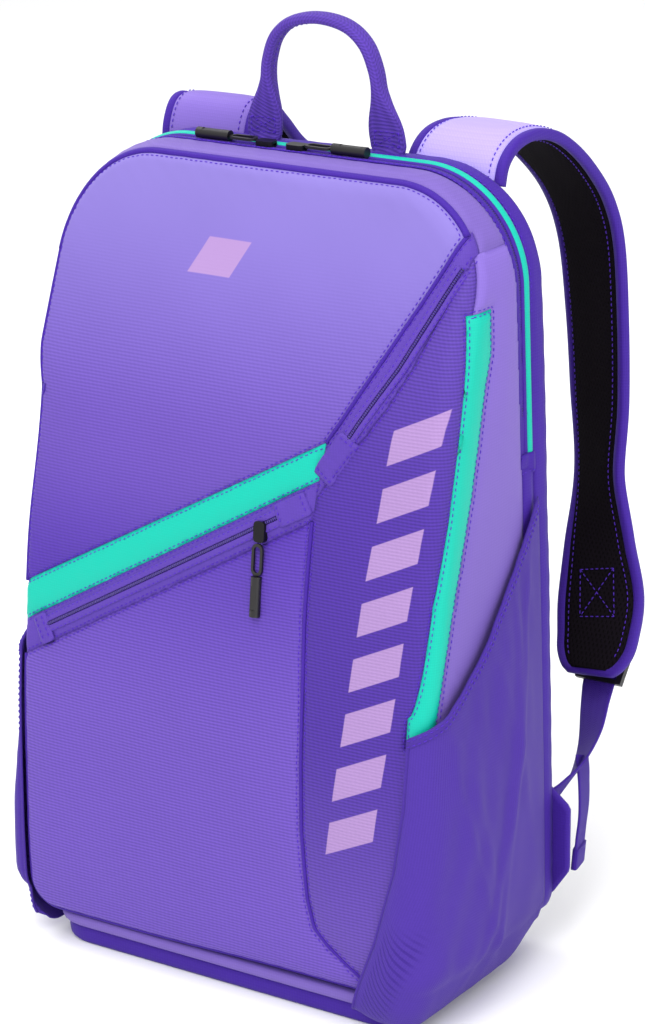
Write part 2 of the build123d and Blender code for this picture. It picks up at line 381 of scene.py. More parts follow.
def make_plastic(name, colour, rough, grain=900.0, metal=0.0):
    f = Finish(name)
    wear = f.noise(60, 3)
    f.bump(f.noise(grain, 2), 0.12, 0.0003)
    return f.finish(f.shade(colour, wear * 0.5 + 0.75), wear * 0.18 + rough, Metallic=metal)


def make_coil(name, colour):
    """Zip coil: teeth across a chain, UV u in metres along it."""
    f = Finish(name)
    teeth = f.uv()[0].wave(0.0015)
    f.bump(teeth, 0.8, 0.0008)
    # the gaps between the teeth are painted darker, as shade
    return f.finish(f.shade(colour, teeth * 0.9 + 0.45), 0.45)


def make_finishes():
    c = colours()
    FINISHES.update({
        "upper": make_ribbed("ribbed_polyester_upper", paint_upper, 0.35, (0.475, 0.36)),
        "lower": make_ribbed("ribbed_polyester_lower", paint_lower, 0.4),
        "wrap": make_ribbed("ribbed_polyester_wrap", paint_wrap, 0.4),
        # its lift paints light from above on the upper end of the side panels and the left strap
        "smooth": make_cloth("coated_polyester", c.smooth, 0.0009, 0.12, 0.50, lit=0.87, lift=0.30),
        "gusset": make_cloth("coated_polyester_gusset", c.smooth, 0.0009, 0.12, 0.50, lit=0.97),
        "teal": make_cloth("teal_satin", c.teal, 0.0008, 0.10, 0.45, sheen=0.015, spread=0.06),
        "indigo": make_cloth("indigo_twill", c.indigo, 0.0010, 0.25, 0.62, spread=0.2),
        "band": make_cloth("zip_band_twill", between(c.indigo, c.violet, 0.55), 0.0010, 0.2, 0.6,
                           spread=0.15),
        "thread": make_cloth("sewing_thread", scaled(c.indigo, 1.6), 0.0006, 0.2, 0.5, spread=0.1),
        "strap": make_cloth("strap_polyester", c.pale, 0.0011, 0.15, 0.52, lit=1.07),
        "webbing": make_webbing("woven_webbing", c.indigo),
        "handle": make_webbing("handle_webbing", between(c.indigo, c.violet, 0.45), 0.0024),
        "stretch": make_stretch(),
        "elastic": make_cloth("elastic_tape", scaled(c.stretch, 0.9), 0.0012, 0.25, 0.66, spread=0.15),
        "mesh": make_air_mesh(),
        "plastic": make_plastic("moulded_black", c.black, 0.32),
        "metal": make_plastic("black_zinc", (0.012, 0.011, 0.014), 0.28, metal=0.7),
        "coil": make_coil("zip_coil", scaled(c.indigo, 0.7)),
        "foam": make_plastic("closed_cell_foam", (0.05, 0.05, 0.055), 0.7, grain=400.0),
    })


# ------------------------------------------------------------------ mesh helpers

def activate(*objs):
    """Selects only these objects and makes the first one active."""
    if bpy.context.object and bpy.context.object.mode != "OBJECT":
        bpy.ops.object.mode_set(mode="OBJECT")
    bpy.ops.object.select_all(action="DESELECT")
    for obj in objs:
        obj.select_set(True)
    bpy.context.view_layer.objects.active = objs[0]


def new_piece(name, verts, faces, finish, smooth=True, uvs=None):
    """A mesh object from millimetre points. uvs holds one (u, v) in metres for each vertex."""
    mesh = bpy.data.meshes.new(name)
    mesh.from_pydata([tuple(c * MM for c in v) for v in verts], [], faces)
    if uvs is not None:
        layer = mesh.uv_layers.new(name="UVMap")
        for loop in mesh.loops:
            layer.data[loop.index].uv = uvs[loop.vertex_index]
    mesh.polygons.foreach_set("use_smooth", [smooth] * len(mesh.polygons))
    mesh.materials.append(FINISHES[finish])
    obj = bpy.data.objects.new(name, mesh)
    bpy.context.scene.collection.objects.link(obj)
    return obj


def thicken(obj, thickness, offset=-1.0):
    """Gives a sheet its thickness in metres, inwards from its face unless offset says otherwise."""
    activate(obj)
    mod = obj.modifiers.new("Solidify", "SOLIDIFY")
    mod.thickness, mod.offset, mod.use_rim = thickness, offset, True
    bpy.ops.object.modifier_apply(modifier=mod.name)


def outward(obj):
    """Turns the faces of a closed piece outwards."""
    activate(obj)
    bpy.ops.object.mode_set(mode="EDIT")
    bpy.ops.mesh.select_all(action="SELECT")
    bpy.ops.mesh.normals_make_consistent(inside=False)
    bpy.ops.object.mode_set(mode="OBJECT")
    return obj


def lengths(points):
    """Distance along a line at each of its points."""
    return np.r_[0, np.cumsum(np.linalg.norm(np.diff(points, axis=0), axis=1))]


def resample(points, step):
    """Points at equal steps along a line."""
    p = np.asarray(points, float)
    run = lengths(p)
    at = np.linspace(0, run[-1], max(int(round(run[-1] / step)), 1) + 1)
    return np.stack([np.interp(at, run, p[:, k]) for k in range(p.shape[1])], 1)


def smooth_path(points, count):
    """Catmull-Rom curve through the points; works for any number of columns."""
    p = np.asarray(points, float)
    q = np.vstack([2 * p[0] - p[1], p, 2 * p[-1] - p[-2]])
    at = np.linspace(0, len(p) - 1 - 1e-9, count)
    k = at.astype(int)
    t = (at - k)[:, None]
    a, b, c, d = q[k], q[k + 1], q[k + 2], q[k + 3]
    return 0.5 * (2 * b + (c - a) * t + (2 * a - 5 * b + 4 * c - d) * t ** 2
                  + (3 * b - a - 3 * c + d) * t ** 3)


def clamp(value):
    return min(max(value, 0.0), 1.0)


def ease(value):
    """0 to 1 with a soft start and end."""
    value = np.clip(value, 0, 1)
    return value * value * (3 - 2 * value)


def arc(x, y, radius, start, stop, count):
    """Points on a circle between two angles in degrees."""
    return [(x + radius * math.cos(a), y + radius * math.sin(a))
            for a in np.radians(np.linspace(start, stop, count))]


def facing(line, normal):
    """A line with the same normal at each of its points."""
    return line, np.tile(normal, (len(line), 1))


def unit(v):
    n = np.linalg.norm(v, axis=-1, keepdims=True)
    return v / np.where(n < 1e-9, 1, n)


def grid_faces(cols, rows, flip=False):
    """Faces of a grid with cols by rows cells."""
    wide = cols + 1
    corners = [j * wide + i for j in range(rows) for i in range(cols)]
    quads = [(a, a + 1, a + 1 + wide, a + wide) for a in corners]
    return [q[::-1] for q in quads] if flip else quads


def ring_faces(rings, count, start=0):
    """Faces of a tube of rings with count points each, closed at both ends."""
    faces = []
    for a in range(start, start + (rings - 1) * count, count):
        for j in range(count):
            k = (j + 1) % count
            faces.append((a + j, a + k, a + count + k, a + count + j))
    faces.append(tuple(range(start, start + count))[::-1])
    faces.append(tuple(start + (rings - 1) * count + j for j in range(count)))
    return faces


def sweep(name, path, side, up, sections, finish):
    """Sweeps a closed section along a path. side and up are unit vectors at each point; sections
    holds the (side, up) offsets in millimetres at each point."""
    path, side, up, sections = (np.asarray(a, float) for a in (path, side, up, sections))
    rows, count = sections.shape[:2]
    across_side, across_up = sections[:, :, :1] * side[:, None], sections[:, :, 1:] * up[:, None]
    verts = (path[:, None] + across_side + across_up).reshape(-1, 3)
    uvs = [(u, v) for u in lengths(path) * MM for v in lengths(sections[rows // 2]) * MM]
    return outward(new_piece(name, verts, ring_faces(rows, count), finish, uvs=uvs))


def cord(name, points, normals, section, finish):
    """One section swept along a line that lies on a surface."""
    side, up = path_frames(points, normals)
    return sweep(name, points, side, up, [section] * len(points), finish)


def ellipse(half_side, half_up, count=12, lift=0.0, power=1.0):
    """Rounded section; a power below 1 makes it squarer."""
    angles = np.linspace(0, 2 * np.pi, count, endpoint=False)
    c, s = np.cos(angles), np.sin(angles)
    return np.stack([half_side * np.sign(c) * abs(c) ** power,
                     half_up * np.sign(s) * abs(s) ** power + lift], 1)


def path_frames(path, normals):
    """Side and up vectors for a path that lies on a surface."""
    path = np.asarray(path, float)
    along = unit(np.gradient(path, axis=0))
    normals = np.asarray(normals, float)
    side = unit(np.cross(along, normals))
    return side, unit(np.cross(side, along))


def join(name, objs):
    activate(*objs)
    bpy.ops.object.join()
    objs[0].name = name
    return objs[0]


def settle(obj, body, nodes=()):
    """Places a finished piece on its body and hides the parts that it stands for."""
    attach(obj, body)
    if nodes:
        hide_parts(*nodes)
    return obj


# ------------------------------------------------------------------ shell surface

def front_table():
    """Depth of the front at each millimetre of height, with the bends of the profile softened."""
    z = np.linspace(0, 530, 531)
    y = np.interp(z, [p[0] for p in PROFILE], [p[1] for p in PROFILE])
    pad = np.pad(y, 30, mode="edge")
    kernel = np.hanning(61)
    return z, np.convolve(pad, kernel / kernel.sum(), mode="valid")


FRONT_Z, FRONT_Y = front_table()


def front_y(z):
    return np.interp(z, FRONT_Z, FRONT_Y)


def half_width(z):
    flat = HALF_LOW + (HALF_TOP - HALF_LOW) * (np.asarray(z, float) - LOW_Z) / (TOP_Z - LOW_Z)
    drop = np.clip(LOW_Z + FOOT_R - z, 0, FOOT_R)
    return flat - (FOOT_R - np.sqrt(FOOT_R ** 2 - drop ** 2))


def outline(inset):
    """Closed front-view outline, from the bottom centre to the right, up and round."""
    low, high = HALF_LOW - inset, HALF_TOP - inset
    top, base = TOP_Z - inset, LOW_Z + inset
    big, small = max(CORNER_R - inset, 4), max(FOOT_R - inset, 2)
    z0, z1 = base + small, top - big
    right = [(x, base) for x in np.linspace(0, low - small, 34)]
    right += arc(low - small, z0, small, -90, 0, 10)[1:]
    right += [(low + (high - low) * k, z0 + (z1 - z0) * k) for k in np.linspace(0, 1, 96)[1:]]
    right += arc(high - big, z1, big, 0, 90, 26)[1:]
    right += [(x, top) for x in np.linspace(high - big, 0, 24)[1:]]
    return np.array(right + [(-x, z) for x, z in right[1:-1][::-1]])


GUSSET_ROWS, ROUND_ROWS, FRONT_ROWS = 30, 10, 36


def edge_radius(x):
    """Round-over of the front edge: tight on the left, full on the right."""
    share = ease((np.asarray(x, float) + 70) / 140)
    return (sizes().edge_left * (1 - share) + sizes().edge_right * share) / MM


def bow(x, y, z):
    """How far a side stands out at this place, less beside the left zip."""
    rise = math.sin(math.pi * clamp((z - 10) / 500)) ** 0.7
    share = clamp(abs(x) / 75 - 1)
    if x >= 0:
        return sizes().bow_right / MM * rise * share
    dent = math.exp(-((y + 25) / 15) ** 2) * clamp((z - 215) / 25) * clamp((385 - z) / 25)
    return sizes().bow_left / MM * rise * share * (1 - 0.95 * dent)


def shell_rows():
    """Rows of points from the back edge, over the round-over, to the middle of the front."""
    crown = sizes().crown / MM
    rim = outline(0)
    radius = edge_radius(rim[:, 0])
    along = np.roll(rim, -1, 0) - np.roll(rim, 1, 0)
    normal = unit(np.stack([along[:, 1], -along[:, 0]], 1))
    start = front_y(rim[:, 1]) + radius
    rows = []
    for k in range(GUSSET_ROWS):
        share = k / GUSSET_ROWS
        out = rim + normal * 1.6 * math.sin(math.pi * share)
        rows.append(np.stack([out[:, 0], BACK_Y + (start - BACK_Y) * share, out[:, 1]], 1))
    for k in range(ROUND_ROWS):
        a = math.radians(90 * k / ROUND_ROWS)
        ring = rim - normal * (radius * (1 - math.cos(a)))[:, None]
        rows.append(np.stack([ring[:, 0], front_y(ring[:, 1]) + radius * (1 - math.sin(a)), ring[:, 1]], 1))
    ring = rim - normal * radius[:, None]
    spine = np.stack([rim[:, 0] * 0, np.clip(rim[:, 1], 160, 390)], 1)
    for k in range(FRONT_ROWS + 1):
        f = 1 - k / FRONT_ROWS
        p = spine + (ring - spine) * f
        swell = crown * (1 - f ** 2.2)
        rows.append(np.stack([p[:, 0], front_y(p[:, 1]) - swell, p[:, 1]], 1))
    for row in rows:
        row[:, 0] += [math.copysign(bow(*p), p[0]) for p in row]
    return rows


FRONT_SEAM_ROW = GUSSET_ROWS + 4
SEAM = [(150, 505), (141, 480), (120, 441), (101, 408), (79, 370), (71, 358), (68, 339), (65, 311),
        (64, 250), (66, 164), (68, 119), (73, 78), (78, 60), (88, 50), (100, 42), (115, 32), (128, 14)]
BAND_EDGE = [(156, 490), (146, 463), (132, 431), (123, 409), (110, 384), (97, 364), (90, 357),
             (68, 327), (60, 318)]
STRIPE_TOP = ((-146, 242), (71, 358))
STRIPE_LOW = ((-146, 217), (66, 334))
ZIP_LOW = ((-143, 196), (63, 309))
SIDE_LEAD = [(-66, 150), (-60, 190), (-50, 231), (-41, 271), (-26, 318), (-3, 401), (6, 437), (16, 470)]
SIDE_TRAIL = [(-51, 180), (-43, 205), (-25, 263), (-2, 329), (16, 392), (23, 410), (25, 437)]


def line_value(line, x, z):
    """Height above a straight line in the front view."""
    (x0, z0), (x1, z1) = line
    return z - (z0 + (z1 - z0) * (x - x0) / (x1 - x0))


def across(points, z):
    """Other coordinate of a polyline that always rises or falls, at height z."""
    p = sorted(points, key=lambda q: q[1])
    return np.interp(z, [q[1] for q in p], [q[0] for q in p])


def panel_of(x, y, z, row):
    """Which sewn panel a point of the shell belongs to."""
    if y > PIPE_BACK:
        return "rear_gusset"
    if y > ZIP_FRONT and z < ZIP_END_Z:
        return "side_rear_bands"
    if y > ZIP_BACK:
        return "pipe_seat"
    if y > ZIP_FRONT:
        return "main_zip_tape"
    if z < LOW_Z + 6.0 and row < FRONT_SEAM_ROW:
        return "bottom_panel"
    right = x > 55 and x > across(SEAM, z)
    if right and x > across(BAND_EDGE, z) or (right and z < 318):
        if z < STRIPE_LOW_Z and y < -30:
            return "ribbed_wrap_panel"
        if x > 100 and y > across(SIDE_LEAD, z) and row < GUSSET_ROWS + ROUND_ROWS:
            if STRIPE_LOW_Z < z < STRIPE_HIGH_Z and y < across(SIDE_TRAIL, z):
                return "side_accent_stripe"
            if z > STRIPE_HIGH_Z and row >= FRONT_SEAM_ROW:
                return "ribbed_wrap_panel"
            return "top_gusset" if z > BAND_TOP_Z else "side_panel_right"
        if z > BAND_TOP_Z - 2 and row < FRONT_SEAM_ROW:
            return "top_gusset"
        return "ribbed_wrap_panel"
    if right and row >= FRONT_SEAM_ROW - 2:
        return "diagonal_zip_band"
    if row < FRONT_SEAM_ROW:
        if z > SIDE_TOP_Z:
            return "top_gusset"
        return "side_panel_left" if x < 0 else "side_panel_right"
    if line_value(STRIPE_TOP, x, z) > 0:
        return "front_panel_upper"
    if line_value(STRIPE_LOW, x, z) > 0:
        return "front_accent_stripe"
    if line_value(ZIP_LOW, x, z) > 0:
        return "front_pocket_zip_band"
    return "front_panel_lower"


def split_faces(bm, faces, point, normal):
    """Cuts faces along a plane."""
    geom = set(faces)
    for f in faces:
        geom.update(f.edges)
        geom.update(f.verts)
    bmesh.ops.bisect_plane(bm, geom=list(geom), dist=1e-4, plane_co=point, plane_no=normal)


def split(bm, wanted, point, normal):
    """Cuts the faces whose middle is wanted along a plane."""
    faces = [f for f in bm.faces if wanted(f.calc_center_median())]
    if faces:
        split_faces(bm, faces, point, normal)


def split_line(bm, points, axis, wanted):
    """Cuts the shell along a polyline: axis 0 for (x, z) points seen from the front, 1 for (y, z)
    points seen from the side."""
    for a, b in zip(points, points[1:]):
        if a[1] < b[1]:
            a, b = b, a
        for end in (a, b):
            split(bm, wanted, (0, 0, end[1]), (0, 0, 1))
        d = (a[0] - b[0], a[1] - b[1])
        point = (a[0], 0, a[1]) if axis == 0 else (0, a[0], a[1])
        normal = (d[1], 0, -d[0]) if axis == 0 else (0, d[1], -d[0])
        split(bm, lambda c: wanted(c) and b[1] - 1e-3 < c.z < a[1] + 1e-3, point, normal)


SHELL = {}
TAPE_SUNK = 1.9


def shell_mesh():
    """The shell as one smooth surface, with the number of its row on each face."""
    rows = shell_rows()
    count = len(rows[0])
    bm = bmesh.new()
    tag = bm.faces.layers.int.new("row")
    grid = [[bm.verts.new(p) for p in row] for row in rows]
    for r in range(len(rows) - 1):
        for c in range(count):
            c2 = (c + 1) % count
            face = bm.faces.new((grid[r][c], grid[r][c2], grid[r + 1][c2], grid[r + 1][c]))
            face[tag] = r
    bmesh.ops.remove_doubles(bm, verts=bm.verts, dist=0.05)
    bmesh.ops.dissolve_degenerate(bm, edges=bm.edges, dist=0.02)
    return bm, tag


def cut_seams(bm, tag):
    """Cuts an edge into the surface wherever two panels meet."""
    for y in (ZIP_FRONT, ZIP_BACK, PIPE_BACK):
        split(bm, lambda c: True, (0, y, 0), (0, 1, 0))
    split(bm, lambda c: c.y > 45, (0, 0, ZIP_END_Z), (0, 0, 1))
    for (x0, z0), (x1, z1) in (STRIPE_TOP, STRIPE_LOW, ZIP_LOW):
        front = [f for f in bm.faces if f[tag] >= FRONT_SEAM_ROW and f.calc_center_median().x < 80]
        split_faces(bm, front, (x0, 0, z0), (z1 - z0, 0, -(x1 - x0)))
    split_line(bm, SEAM, 0, lambda c: c.x > 45 and c.y < 45)
    split_line(bm, BAND_EDGE, 0, lambda c: c.x > 55 and c.y < 45 and c.z > 310)
    split_line(bm, SIDE_LEAD, 1, lambda c: c.x > 120 and c.y < ZIP_FRONT)
    split_line(bm, SIDE_TRAIL, 1, lambda c: c.x > 120 and c.y < ZIP_FRONT)
    for z in (STRIPE_HIGH_Z, BAND_TOP_Z, SIDE_TOP_Z, STRIPE_LOW_Z, LOW_Z + 6.0):
        split(bm, lambda c: c.y < ZIP_FRONT, (0, 0, z), (0, 0, 1))


def seam_tree(bm, panels):
    """Search tree over the ends of every edge between two panels."""
    points = []
    for e in bm.edges:
        if len(e.link_faces) == 2 and len({panels[f.index] for f in e.link_faces}) == 2:
            points += [v.co.copy() for v in e.verts]
    tree = KDTree(len(points))
    for i, p in enumerate(points):
        tree.insert(p, i)
    tree.balance()
    return tree


def pull_seams(bm, panels):
    """Pulls the surface in along its seams, pads it between them and sinks the main zip's tape."""
    tree = seam_tree(bm, panels)
    depth = sizes().seam_depth / MM
    for v in bm.verts:
        _, _, d = tree.find(v.co)
        x, y, z = v.co
        pull = -depth * math.exp(-(d / 3.2) ** 2) + 0.9 * (1 - math.exp(-(d / 14) ** 2))
        soft = (0.55 * math.sin(x / 31 + z / 47 + 1.3) * math.sin(z / 38 - x / 55)
                + 0.35 * math.sin(x / 13 + z / 60) * math.sin(z / 17 + y / 23))
        near = math.exp(-(d / 22) ** 2) * (1 - math.exp(-(d / 4) ** 2))
        pucker = 0.18 * near * math.sin((x + y) / 2.6 + z / 3.1)
        v.co += v.normal * (pull + soft * (1 - math.exp(-(d / 12) ** 2)) + pucker)
        if ZIP_FRONT - 0.01 < y < ZIP_BACK + 0.01 and z > ZIP_END_Z - 1:
            v.co -= v.normal * TAPE_SUNK


def build_shell():
    """The whole sewn shell as one surface in millimetres."""
    bm, tag = shell_mesh()
    cut_seams(bm, tag)
    bm.normal_update()
    bm.faces.index_update()
    panels = [panel_of(*f.calc_center_median(), f[tag]) for f in bm.faces]
    if sum(f.normal.y for f in bm.faces if f.calc_center_median().y < -60) > 0:
        bmesh.ops.reverse_faces(bm, faces=bm.faces)
    bm.normal_update()
    pull_seams(bm, panels)
    bm.normal_update()
    SHELL["bm"], SHELL["panels"] = bm, panels
    SHELL["tree"] = BVHTree.FromBMesh(bm)


def chain(first, second):
    """Ordered points of the seam between two panels, as (point, normal) arrays, longest run only."""
    bm, panels = SHELL["bm"], SHELL["panels"]
    links = {}
    for e in bm.edges:
        if len(e.link_faces) == 2 and {panels[f.index] for f in e.link_faces} == {first, second}:
            a, b = e.verts
            links.setdefault(a, []).append(b)
            links.setdefault(b, []).append(a)
    runs, seen = [], set()
    for start in [v for v in links if len(links[v]) == 1] + list(links):
        if start in seen:
            continue
        run, here = [start], start
        seen.add(start)
        while True:
            ahead = [v for v in links[here] if v not in seen]
            if not ahead:
                break
            here = ahead[0]
            seen.add(here)
            run.append(here)
        runs.append(run)
    return on_shell(resample([v.co for v in max(runs, key=len)], 2.5))


def on_shell(points, lift=0.0):
    """Nearest shell points and normals."""
    found, normals = [], []
    for p in points:
        place, normal, _, _ = SHELL["tree"].find_nearest(Vector(p))
        found.append(place + normal * lift)
        normals.append(normal)
    normals = np.array(normals)
    if len(normals) > 4:
        pad = np.pad(normals, ((2, 2), (0, 0)), mode="edge")
        normals = unit(sum(pad[k:k + len(normals)] for k in range(5)))
    return np.array(found), normals


def beside(points, normals, distance):
    """The same line moved sideways on the shell."""
    side, _ = path_frames(points, normals)
    return on_shell(np.asarray(points) + side * distance)


def from_front(points, step=3.0):
    """A line given in the front view, laid on the shell."""
    hits = []
    for x, z in resample(points, step):
        place, _, _, _ = SHELL["tree"].ray_cast(Vector((x, -400, z)), Vector((0, 1, 0)))
        hits.append(place if place else Vector((x, front_y(z), z)))
    return on_shell(hits)


STITCH_GAP, THREAD_R = 1.5, 0.34


def stitches(name, runs, lift=0.15):
    """Short raised threads along lines of (points, normals)."""
    length = sizes().stitch / MM
    turns = np.radians(np.arange(0, 360, 72))
    verts, faces = [], []
    for points, normals in runs:
        data = resample(np.hstack([points, normals]), (length + STITCH_GAP) / 2)
        for a, b in zip(data[:-1:2], data[1::2]):
            reach = (b[:3] - a[:3]) * (length / (length + STITCH_GAP))
            up = unit(a[3:] + b[3:])
            side = np.cross(unit(reach), up)
            faces += ring_faces(4, len(turns), len(verts))
            for share, size in ((-0.5, 0.35), (-0.30, 1.0), (0.30, 1.0), (0.5, 0.35)):
                mid = (a[:3] + b[:3]) / 2 + reach * share * 2 + up * (lift if size > 0.5 else -0.2)
                verts += [mid + (side * math.cos(q) + up * math.sin(q)) * THREAD_R * size for q in turns]
    return outward(new_piece(name, verts, faces, "thread"))


def surface_strip(name, points, normals, half, height, finish, power=0.6):
    """A flat, round-edged strip that lies on the shell and thins at both ends."""
    side, up = path_frames(points, normals)
    last = len(points) - 1
    full = [min(1.0, (min(i, last - i) + 0.6) / 2.0) for i in range(last + 1)]
    sections = [ellipse(half * (0.8 + 0.2 * f), height * f, 14, power=power) for f in full]
    return sweep(name, points, side, up, sections, finish)


def crossed_box(a, b, c, d, normal):
    """Runs of stitches round a four-sided patch and across it."""
    pairs = ((a, b), (d, c), (a, d), (b, c), (a, c), (b, d))
    return [facing(resample(pair, 2.0), normal) for pair in pairs]


# ------------------------------------------------------------------ operators

PANELS = {
    "front_panel_upper": ("upper", "ribbed_fabric"),
    "front_panel_lower": ("lower", "ribbed_fabric"),
    "ribbed_wrap_panel": ("wrap", "ribbed_fabric"),
    "front_accent_stripe": ("teal", "teal_fabric"),
    "side_accent_stripe": ("teal", "teal_fabric"),
    "front_pocket_zip_band": ("band", "indigo_fabric"),
    "diagonal_zip_band": ("band", "indigo_fabric"),
    "main_zip_tape": ("indigo", "indigo_fabric"),
    "side_rear_bands": ("indigo", "indigo_fabric"),
    "side_panel_left": ("smooth", "smooth_fabric"),
    "side_panel_right": ("smooth", "smooth_fabric"),
    "top_gusset": ("gusset", "smooth_fabric"),
    "rear_gusset": ("indigo", "smooth_fabric"),
    "bottom_panel": ("indigo", "smooth_fabric"),
    "pipe_seat": ("indigo", "teal_fabric"),
}


class BACKPACK_OT_shell(bpy.types.Operator):
    """Sew the front, sides, gussets and bottom"""
    bl_idname = "backpack.shell"
    bl_label = "Shell panels"

    def execute(self, context):
        build_shell()
        bm, panels = SHELL["bm"], SHELL["panels"]
        for name, (finish, slot) in PANELS.items():
            faces = [f for f in bm.faces if panels[f.index] == name]
            if not faces:
                raise RuntimeError(f"no faces for {name}")
            order = {}
            loops = [[order.setdefault(v, len(order)) for v in f.verts] for f in faces]
            obj = new_piece("sewn_" + name, [v.co for v in order], loops, finish)
            thicken(obj, sizes().wall)
            nodes = () if name == "pipe_seat" else (name,)
            settle(obj, "bag", nodes)
        return {"FINISHED"}


def rim_path(y, inset):
    """Line round the top of the shell at one depth, from the left end over the top to the right,
    and the way out at each point."""
    right = [(x, z) for x, z in outline(inset) if z > ZIP_END_Z and x >= 0]
    right.sort(key=lambda p: math.atan2(p[1] - 300, p[0]))
    line = resample(right + [(-x, z) for x, z in right[::-1]][1:], 3.0)
    points = np.stack([line[:, 0], np.full(len(line), y), line[:, 1]], 1)
    dx, dz = np.gradient(line[:, 0]), np.gradient(line[:, 1])
    normals = unit(np.stack([dz, np.zeros(len(line)), -dx], 1))
    return points, normals if normals[len(normals) // 2][2] > 0 else -normals


class BACKPACK_OT_gusset_trim(bpy.types.Operator):
    """Lay the main zip coil, its lips, the teal piping and the end tabs"""
    bl_idname = "backpack.gusset_trim"
    bl_label = "Gusset trim"

    def execute(self, context):
        radius = sizes().piping / MM
        mid = (ZIP_FRONT + ZIP_BACK) / 2
        coil = cord("main_zip_coil", *rim_path(mid, 0.6), ellipse(1.9, 1.1, 10), "coil")
        settle(coil, "bag")
        for offset in (-3.0, 3.0):
            lip = cord("zip_lip", *rim_path(mid + offset, -0.2), ellipse(1.9, 0.9, 10, power=0.7), "indigo")
            settle(lip, "bag")
        pipe = cord("teal_gusset_piping", *rim_path((ZIP_BACK + PIPE_BACK) / 2, 0.4),
                    ellipse(radius * 1.15, radius * 0.85, 14, lift=0.4), "teal")
        settle(pipe, "bag", ("gusset_piping",))
        tab_z = ZIP_END_Z + 1
        for sign in (-1, 1):
            line = [(sign * (half_width(tab_z) + 1.2), y, tab_z) for y in (50.5, 66.5)]
            points, normals = on_shell(resample(line, 2.0), 0.4)
            tab = surface_strip("zip_end_tab", points, normals, 7.0, 1.7, "indigo")
            settle(tab, "bag")
            rows = [(points + normals * (1.55, 0, 0) + (0, 0, dz), normals) for dz in (-4.6, 4.6)]
            settle(stitches("zip_end_tab_stitches", rows), "bag")
        return {"FINISHED"}


# The dark indigo seam cords are partly real piping and partly painted shade, the dark line of shade along
# each seam.
SEAM_CORDS = (  # the two panels and the cord's half width
    ("front_panel_upper", "top_gusset", 2.3), ("front_panel_upper", "side_panel_left", 2.1),
    ("front_panel_lower", "side_panel_left", 1.8), ("front_panel_lower", "ribbed_wrap_panel", 1.3),
    ("front_panel_upper", "diagonal_zip_band", 1.3), ("front_panel_lower", "bottom_panel", 1.6),
    ("ribbed_wrap_panel", "bottom_panel", 1.6))
TOPSTITCHING = (  # the two panels and how far each row lies from their seam
    ("front_panel_lower", "ribbed_wrap_panel", (3.2, -3.2)),
    ("front_accent_stripe", "front_panel_upper", (1.6, -2.4)),
    ("front_accent_stripe", "front_pocket_zip_band", (1.8, -1.8)),
    ("front_pocket_zip_band", "front_panel_lower", (2.0, -2.0)),
    ("front_panel_upper", "diagonal_zip_band", (2.8, -2.8)),
    ("diagonal_zip_band", "ribbed_wrap_panel", (2.2, -2.2)),
    ("side_accent_stripe", "ribbed_wrap_panel", (1.6, -2.0)),
    ("side_accent_stripe", "side_panel_right", (1.6, -2.0)),
    ("front_panel_upper", "top_gusset", (4.2,)),
    ("front_panel_upper", "side_panel_left", (4.2,)))


class BACKPACK_OT_seams(bpy.types.Operator):
    """Add the seam cords and the rows of topstitching"""
    bl_idname = "backpack.seams"
    bl_label = "Seams and stitching"

    def execute(self, context):
        cords = [cord("seam_cord", *chain(a, b), ellipse(size, size * 0.8, 10, lift=size * 0.25), "indigo")
                 for a, b, size in SEAM_CORDS]
        settle(join("seam_cords", cords), "bag")
        runs = [beside(*chain(a, b), offset) for a, b, offsets in TOPSTITCHING for offset in offsets]
        runs += [rim_path(ZIP_FRONT - 2.2, -1.2), rim_path(PIPE_BACK + 2.2, -0.9)]
        settle(stitches("shell_topstitching", runs), "bag")
        return {"FINISHED"}


def zip_on_front(name, line, groove=2.0, lip=4.4):
    """Two folded lips with a coil between them, on a line in the front view."""
    points, normals = from_front(line)
    pieces = []
    for sign in (-1, 1):
        moved, turned = beside(points, normals, sign * (groove / 2 + lip / 2 + 0.2))
        pieces.append(surface_strip("lip", moved, turned, lip / 2, 1.1, "band"))
        sewn, turned = beside(points, normals, sign * (groove / 2 + lip - 0.8))
        pieces.append(stitches("lip_stitches", [(sewn + turned * 0.9, turned)]))
    pieces.append(cord("coil", points + normals * 0.35, normals, ellipse(groove * 0.55, 0.8, 8), "coil"))
    return settle(join(name, pieces), "bag")


def flat_tab(name, line, half):
    """A tab with a row of stitches inside each long edge and across its ends."""
    height, inset = 1.5, half - 1.8
    points, normals = from_front(line, 1.5)
    side, _ = path_frames(points, normals)
    rows = []
    for offset in (-inset, inset):
        moved, turned = beside(points[2:-2], normals[2:-2], offset)
        rows.append((moved + turned * (height * 0.95), turned))
    for k in (2, len(points) - 3):
        ends = [points[k] + side[k] * s * inset + normals[k] * height for s in (-1, 1)]
        rows.append(facing(resample(ends, 2.0), normals[k]))
    body = surface_strip("tab", points, normals, half, height, "band", power=0.45)
    return settle(join(name, [body, stitches("tab_stitches", rows)]), "bag")


class BACKPACK_OT_front_zips(bpy.types.Operator):
    """Fit the slanted pocket zip and the diagonal shoulder zip"""
    bl_idname = "backpack.front_zips"
    bl_label = "Front zips"

    def execute(self, context):
        zip_on_front("front_pocket_zip", [(-136, 212.0), (52, 315.3)])
        zip_on_front("diagonal_zip", [(86, 361), (114, 405), (143, 462)], groove=1.8, lip=3.6)
        flat_tab("diagonal_zip_tab", [(70, 336), (89, 362)], 8.0)
        flat_tab("front_zip_garage", [(40, 309.5), (62, 321)], 7.5)
        flat_tab("front_zip_start_tab", [(-143, 206.5), (-133, 212.0)], 9.5)
        return {"FINISHED"}


